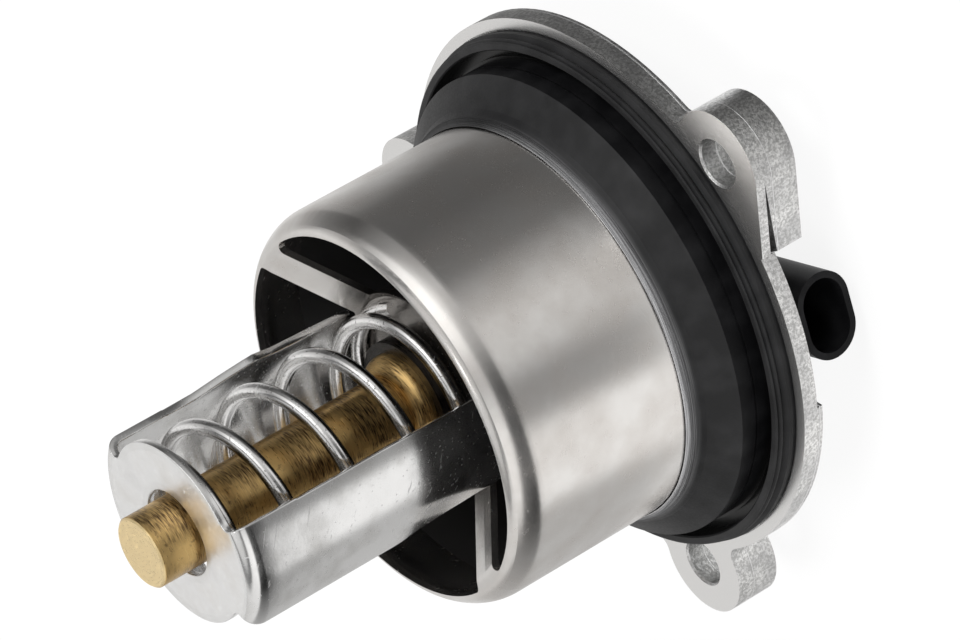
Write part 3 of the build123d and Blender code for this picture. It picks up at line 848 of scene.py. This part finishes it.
def spinProfile(bm, points, first, last, steps):
    verts = [bm.verts.new((r * mm, 0.0, z * mm)) for r, z in points]
    edges = [bm.edges.new(pair) for pair in zip(verts, verts[1:])]
    start = Matrix.Rotation(math.radians(first), 3, "Z")
    bmesh.ops.rotate(bm, verts=verts, cent=origin, matrix=start)
    before = set(bm.verts) - set(verts)
    spinLine(bm, verts, edges, math.radians(last - first), steps)
    return [v for v in bm.verts if v not in before]


def buildYoke():
    size = yokeStrip
    bm = bmesh.new()
    ring = (size["plateRadius"] - size["holeRadius"]) / size["plateRings"]
    plate = [(size["holeRadius"] + ring * k, size["plateTop"]) for k in range(size["plateRings"] + 1)]
    spinProfile(bm, plate, 0.0, 360.0, round(360.0 / size["step"]))
    rows = yokeRows()
    for table in (size["nearLeg"], size["farLeg"]):
        first, last = table[0][1:]
        for vert in spinProfile(bm, rows, first, last, round((last - first) / size["step"])):
            radius = math.hypot(vert.co.x, vert.co.y) / mm
            angle = math.degrees(math.atan2(vert.co.y, vert.co.x)) % 360.0
            low, high = stripEdges(table, radius, vert.co.z / mm)
            angle = math.radians(low + (high - low) * (angle - first) / (last - first))
            vert.co.x = radius * math.cos(angle) * mm
            vert.co.y = radius * math.sin(angle) * mm
    bmesh.ops.remove_doubles(bm, verts=bm.verts, dist=size["seamMerge"] * mm)
    bmesh.ops.recalc_face_normals(bm, faces=bm.faces)
    top = max(bm.faces, key=lambda face: face.calc_center_median().z)
    if top.normal.z < 0.0:
        bmesh.ops.reverse_faces(bm, faces=bm.faces)
    sheet = bm.faces[:] + bm.edges[:] + bm.verts[:]
    bmesh.ops.solidify(bm, geom=sheet, thickness=size["sheet"] * mm)
    bmesh.ops.recalc_face_normals(bm, faces=bm.faces)
    corner = math.radians(size["sharpAngle"])
    sharp = [edge for edge in bm.edges if edge.is_manifold and edge.calc_face_angle() > corner]
    bmesh.ops.bevel(
        bm,
        geom=sharp,
        offset=size["edgeRound"] * mm,
        offset_type="OFFSET",
        segments=2,
        profile=0.5,
        affect="EDGES",
        material=-1,
        clamp_overlap=False,
    )
    finishPiece("yokeSheet", bm, "strip_steel", "yoke", size)


buildYoke()
print("yoke bent")


sealRing = {
    "sleeveRadius": 40.05,
    "backStep": 0.5,
    "bandHeight": 1.0,
    "gapWidth": 0.18,
    "ridgeStart": 0.25,
    "noseRadius": 42.4,
    "noseHeight": 12.55,
    "noseRound": (0.25, 0.42),
    "frontHeight": 15.65,
    "ridges": 6,
    "pointsPerRidge": 4,
    "ridgeDepth": 0.16,
    "ridgeTilt": 0.7,
    # the way from the first ridge to the nose is this many times as long as the ridges are
    "spread": 1.9,
    "steps": 240,
    "sharpAngle": 50.0,
    "merge": 0.002,
}


def buildSealLip():
    size = sealRing
    sleeve, nose, front = size["sleeveRadius"], size["noseRadius"], size["frontHeight"]
    points = [
        (sleeve + size["backStep"], size["noseHeight"]),
        (sleeve, front - size["bandHeight"]),
        (sleeve, front - 2.0 * size["gapWidth"]),
        (sleeve + size["gapWidth"], front),
    ]
    count = size["ridges"] * size["pointsPerRidge"]
    for step in range(1, count + 1):
        share = step / (count * size["spread"])
        radius = sleeve + size["ridgeStart"] + (nose - sleeve - size["ridgeStart"]) * share
        height = front + (size["noseHeight"] - front) * share
        swell = 0.5 - 0.5 * math.cos(fullTurn * step / size["pointsPerRidge"])
        swell = swell * size["ridgeDepth"] * size["ridgeTilt"]
        points.append((radius + swell, height + swell))
    points.append((nose - size["noseRound"][0], size["noseHeight"] + size["noseRound"][1]))
    points.append((nose, size["noseHeight"]))
    bm = bmesh.new()
    verts = [bm.verts.new((r * mm, 0.0, z * mm)) for r, z in points]
    edges = [bm.edges.new(pair) for pair in zip(verts, verts[1:] + verts[:1])]
    spinLine(bm, verts, edges, fullTurn, size["steps"])
    finishPiece("sealLip", bm, "black_rubber", "seal_lip_ring", size)


buildSealLip()
print("seal lip turned")


studio = {
    "floorHeight": cadBox[0][2],
    "floorSize": 4.0,
    "floorGrid": 8,
    "floorDrop": 0.05 * mm,
    "paper": 0.93,
    "paperMottle": 0.01,
    "paperRoughness": 0.9,
    "paperGrain": {"Grain size": 1.0, "Mottle size": 60.0},
    # share of the seen paper that glows, so that only part of the shadow stays
    "paperGlow": 0.88,
    "ringRise": 0.4 * mm,
    "ringInner": 60.0 * mm,
    "ringOuter": 600.0 * mm,
    "ringSteps": 96,
    "wallTop": 900.0 * mm,
    "ceilingHole": 60.0 * mm,
    "ceilingHeight": 1050.0 * mm,
    "ceilingTone": (0.60, 0.595, 0.59),
    # where one tone runs into the next: distances from the axis, and heights, lowWall's from the table
    "nearEdge": (92.0 * mm, 104.0 * mm),
    "tableEdge": (255.0 * mm, 300.0 * mm),
    "lowWall": (20.0 * mm, 90.0 * mm),
    "highWall": (250.0 * mm, 310.0 * mm),
    "corniceFoot": (740.0 * mm, 800.0 * mm),
    "corniceTop": (915.0 * mm, 945.0 * mm),
    "corniceTone": (0.12, 0.12, 0.12),
    "warmth": (1.0, 0.99, 0.98),
    # light of the world on the part, against 1 where the eye or a reflection meets it
    "worldLight": 0.45,
    # direction round the axis in degrees, then tone of near table, far table, low wall, high wall
    "tones": [
        (-180.0, 0.22, 0.12, 0.06, 0.30),
        (-158.0, 0.35, 0.42, 0.20, 0.55),
        (-136.0, 0.50, 0.75, 0.65, 0.85),
        (-112.0, 0.60, 0.95, 0.72, 0.62),
        (-78.0, 0.70, 0.76, 0.72, 0.60),
        (-66.0, 0.70, 0.55, 0.55, 0.72),
        (-5.0, 0.85, 0.52, 0.02, 0.88),
        (5.0, 1.00, 1.00, 0.02, 0.95),
        (37.0, 0.98, 1.00, 0.02, 0.95),
        (46.0, 0.95, 0.36, 0.02, 0.80),
        (62.0, 0.95, 0.30, 0.06, 0.55),
        (74.0, 0.75, 0.66, 0.15, 0.50),
        (92.0, 0.14, 0.76, 0.50, 0.85),
        (120.0, 0.10, 0.17, 0.60, 1.00),
        (150.0, 0.12, 0.10, 0.30, 0.80),
        (180.0, 0.22, 0.12, 0.06, 0.30),
    ],
}


def buildFloor():
    bm = bmesh.new()
    grid = studio["floorGrid"]
    bmesh.ops.create_grid(bm, x_segments=grid, y_segments=grid, size=studio["floorSize"] * 0.5)
    low = studio["floorHeight"] - studio["floorDrop"]
    bmesh.ops.translate(bm, verts=bm.verts, vec=(0.0, 0.0, low))
    mesh = bpy.data.meshes.new("floorPaper")
    bm.to_mesh(mesh)
    bm.free()
    floor = bpy.data.objects.new("floorPaper", mesh)
    bpy.context.scene.collection.objects.link(floor)
    mat, tree, shader = startMaterial("floorPaper")
    shader.inputs["Roughness"].default_value = studio["paperRoughness"]
    shader.inputs["Specular IOR Level"].default_value = 0.0
    grain = useGroup(tree, grainGroup, **studio["paperGrain"])
    white = (studio["paper"],) * 3
    shade = (studio["paper"] - studio["paperMottle"],) * 3
    paper = colourMix(tree, grain.outputs["Mottle"], white, shade)
    tree.links.new(paper, shader.inputs["Base Color"])
    # seen by the eye, in metal and through glass the paper stays white but keeps part of its shadow
    path = addNode(tree, "ShaderNodeLightPath")
    seen = mathNode(tree, "MAXIMUM", path.outputs["Is Camera Ray"], path.outputs["Is Transmission Ray"])
    seen = mathNode(tree, "MULTIPLY", seen, studio["paperGlow"])
    share = mathNode(tree, "MAXIMUM", seen, path.outputs["Is Glossy Ray"])
    glow = addNode(tree, "ShaderNodeEmission")
    glow.inputs["Strength"].default_value = 1.0
    mixSeen = addNode(tree, "ShaderNodeMixShader")
    tree.links.new(share, mixSeen.inputs[0])
    tree.links.new(shader.outputs[0], mixSeen.inputs[1])
    tree.links.new(glow.outputs[0], mixSeen.inputs[2])
    tree.links.new(mixSeen.outputs[0], tree.nodes["Material Output"].inputs["Surface"])
    mesh.materials.append(mat)


def toneRamp(tree, turn, column):
    node = addNode(tree, "ShaderNodeValToRGB")
    tree.links.new(turn, node.inputs[0])
    stops = node.color_ramp.elements
    for index, row in enumerate(studio["tones"]):
        place = (row[0] + 180.0) / 360.0
        stop = stops[index] if index < 2 else stops.new(place)
        stop.position = place
        stop.color = (*(row[column] * share for share in studio["warmth"]), 1.0)
    return node.outputs[0]


def makeRoomTone():
    mat, tree, _ = startMaterial("roomTone")
    place = useGroup(tree, roundGroup)
    turn = ramp(tree, place.outputs["Angle"], -math.pi, math.pi)
    rise = place.outputs["Height on axis"]
    low = studio["floorHeight"] + studio["ringRise"]
    away = ramp(tree, place.outputs["Radius"], *studio["nearEdge"])
    wall = ramp(tree, rise, *(low + height for height in studio["lowWall"]))
    wall = mathNode(tree, "MAXIMUM", wall, ramp(tree, place.outputs["Radius"], *studio["tableEdge"]))
    high = ramp(tree, rise, *studio["highWall"])
    cornice = ramp(tree, rise, *studio["corniceFoot"])
    ceiling = ramp(tree, rise, *studio["corniceTop"])
    tone = colourMix(tree, away, toneRamp(tree, turn, 1), toneRamp(tree, turn, 2))
    tone = colourMix(tree, wall, tone, toneRamp(tree, turn, 3))
    tone = colourMix(tree, high, tone, toneRamp(tree, turn, 4))
    tone = colourMix(tree, cornice, tone, studio["corniceTone"])
    tone = colourMix(tree, ceiling, tone, studio["ceilingTone"])
    glow = addNode(tree, "ShaderNodeEmission")
    tree.links.new(tone, glow.inputs["Color"])
    tree.links.new(glow.outputs[0], tree.nodes["Material Output"].inputs["Surface"])
    return mat


# Round table edge and room that the metal mirrors, out of the picture itself
def buildRoom():
    profile = [
        (studio["ringInner"], studio["floorHeight"] + studio["ringRise"]),
        (studio["ringOuter"], studio["floorHeight"] + studio["ringRise"]),
        (studio["ringOuter"], studio["wallTop"]),
        (studio["ceilingHole"], studio["ceilingHeight"]),
    ]
    bm = bmesh.new()
    verts = [bm.verts.new((radius, 0.0, height)) for radius, height in profile]
    edges = [bm.edges.new(pair) for pair in zip(verts, verts[1:])]
    spinLine(bm, verts, edges, fullTurn, studio["ringSteps"])
    mesh = bpy.data.meshes.new("studioRoom")
    bm.to_mesh(mesh)
    bm.free()
    room = bpy.data.objects.new("studioRoom", mesh)
    bpy.context.scene.collection.objects.link(room)
    mesh.materials.append(makeRoomTone())
    room.visible_camera = False
    room.visible_diffuse = False
    room.visible_shadow = False
    room.visible_transmission = False


def buildWorld():
    world = bpy.data.worlds.new("studio")
    bpy.context.scene.world = world
    world.use_nodes = True
    tree = world.node_tree
    back = tree.nodes["Background"]
    path = addNode(tree, "ShaderNodeLightPath")
    seen = mathNode(tree, "MAXIMUM", path.outputs["Is Camera Ray"], path.outputs["Is Glossy Ray"])
    seen = mathNode(tree, "MAXIMUM", seen, path.outputs["Is Transmission Ray"])
    light = studio["worldLight"]
    tree.links.new(mathNode(tree, "MULTIPLY_ADD", seen, 1.0 - light, light), back.inputs["Strength"])
    back.inputs["Color"].default_value = (1.0, 1.0, 1.0, 1.0)


# Places and sizes in metres
lamps = {
    "keyLamp": {"place": (-0.55, 0.85, 0.75), "size": 0.7, "watts": 11.0},
    "fillLamp": {"place": (0.95, 0.55, 0.55), "size": 0.9, "watts": 7.0},
    "topLamp": {"place": (0.0, -0.35, 1.15), "size": 1.0, "watts": 9.0},
}
lampAim = Vector((0.0, 0.0, 0.04))


def buildLamps():
    for name, spec in lamps.items():
        light = bpy.data.lights.new(name, "AREA")
        light.shape = "DISK"
        light.size = spec["size"]
        light.energy = spec["watts"]
        lamp = bpy.data.objects.new(name, light)
        bpy.context.scene.collection.objects.link(lamp)
        place = Vector(spec["place"])
        lamp.location = place
        lamp.rotation_euler = (lampAim - place).normalized().to_track_quat("-Z", "Y").to_euler()


# Where the photo was taken from, worked out from its ellipses
photoCamera = {
    "lens": 206.25,
    "film": 36.0,
    "clip": (0.05, 20.0),
    "right": Vector((0.553813, 0.316326, -0.770213)),
    "up": Vector((-0.819443, 0.371112, -0.436795)),
    "place": Vector((142.81, 882.37, 495.59)) * mm,
}


def buildCamera():
    camera = bpy.data.cameras.new("photoCamera")
    camera.lens = photoCamera["lens"]
    camera.sensor_width = photoCamera["film"]
    camera.clip_start, camera.clip_end = photoCamera["clip"]
    holder = bpy.data.objects.new("photoCamera", camera)
    bpy.context.scene.collection.objects.link(holder)
    right, up, place = (photoCamera[key] for key in ("right", "up", "place"))
    back = right.cross(up).normalized()
    rows = [(right[k], up[k], back[k], place[k]) for k in range(3)]
    holder.matrix_world = Matrix((*rows, (0.0, 0.0, 0.0, 1.0)))
    bpy.context.scene.camera = holder


buildFloor()
buildRoom()
buildWorld()
buildLamps()
buildCamera()
bpy.context.scene.view_settings.view_transform = "Standard"
print("studio set")
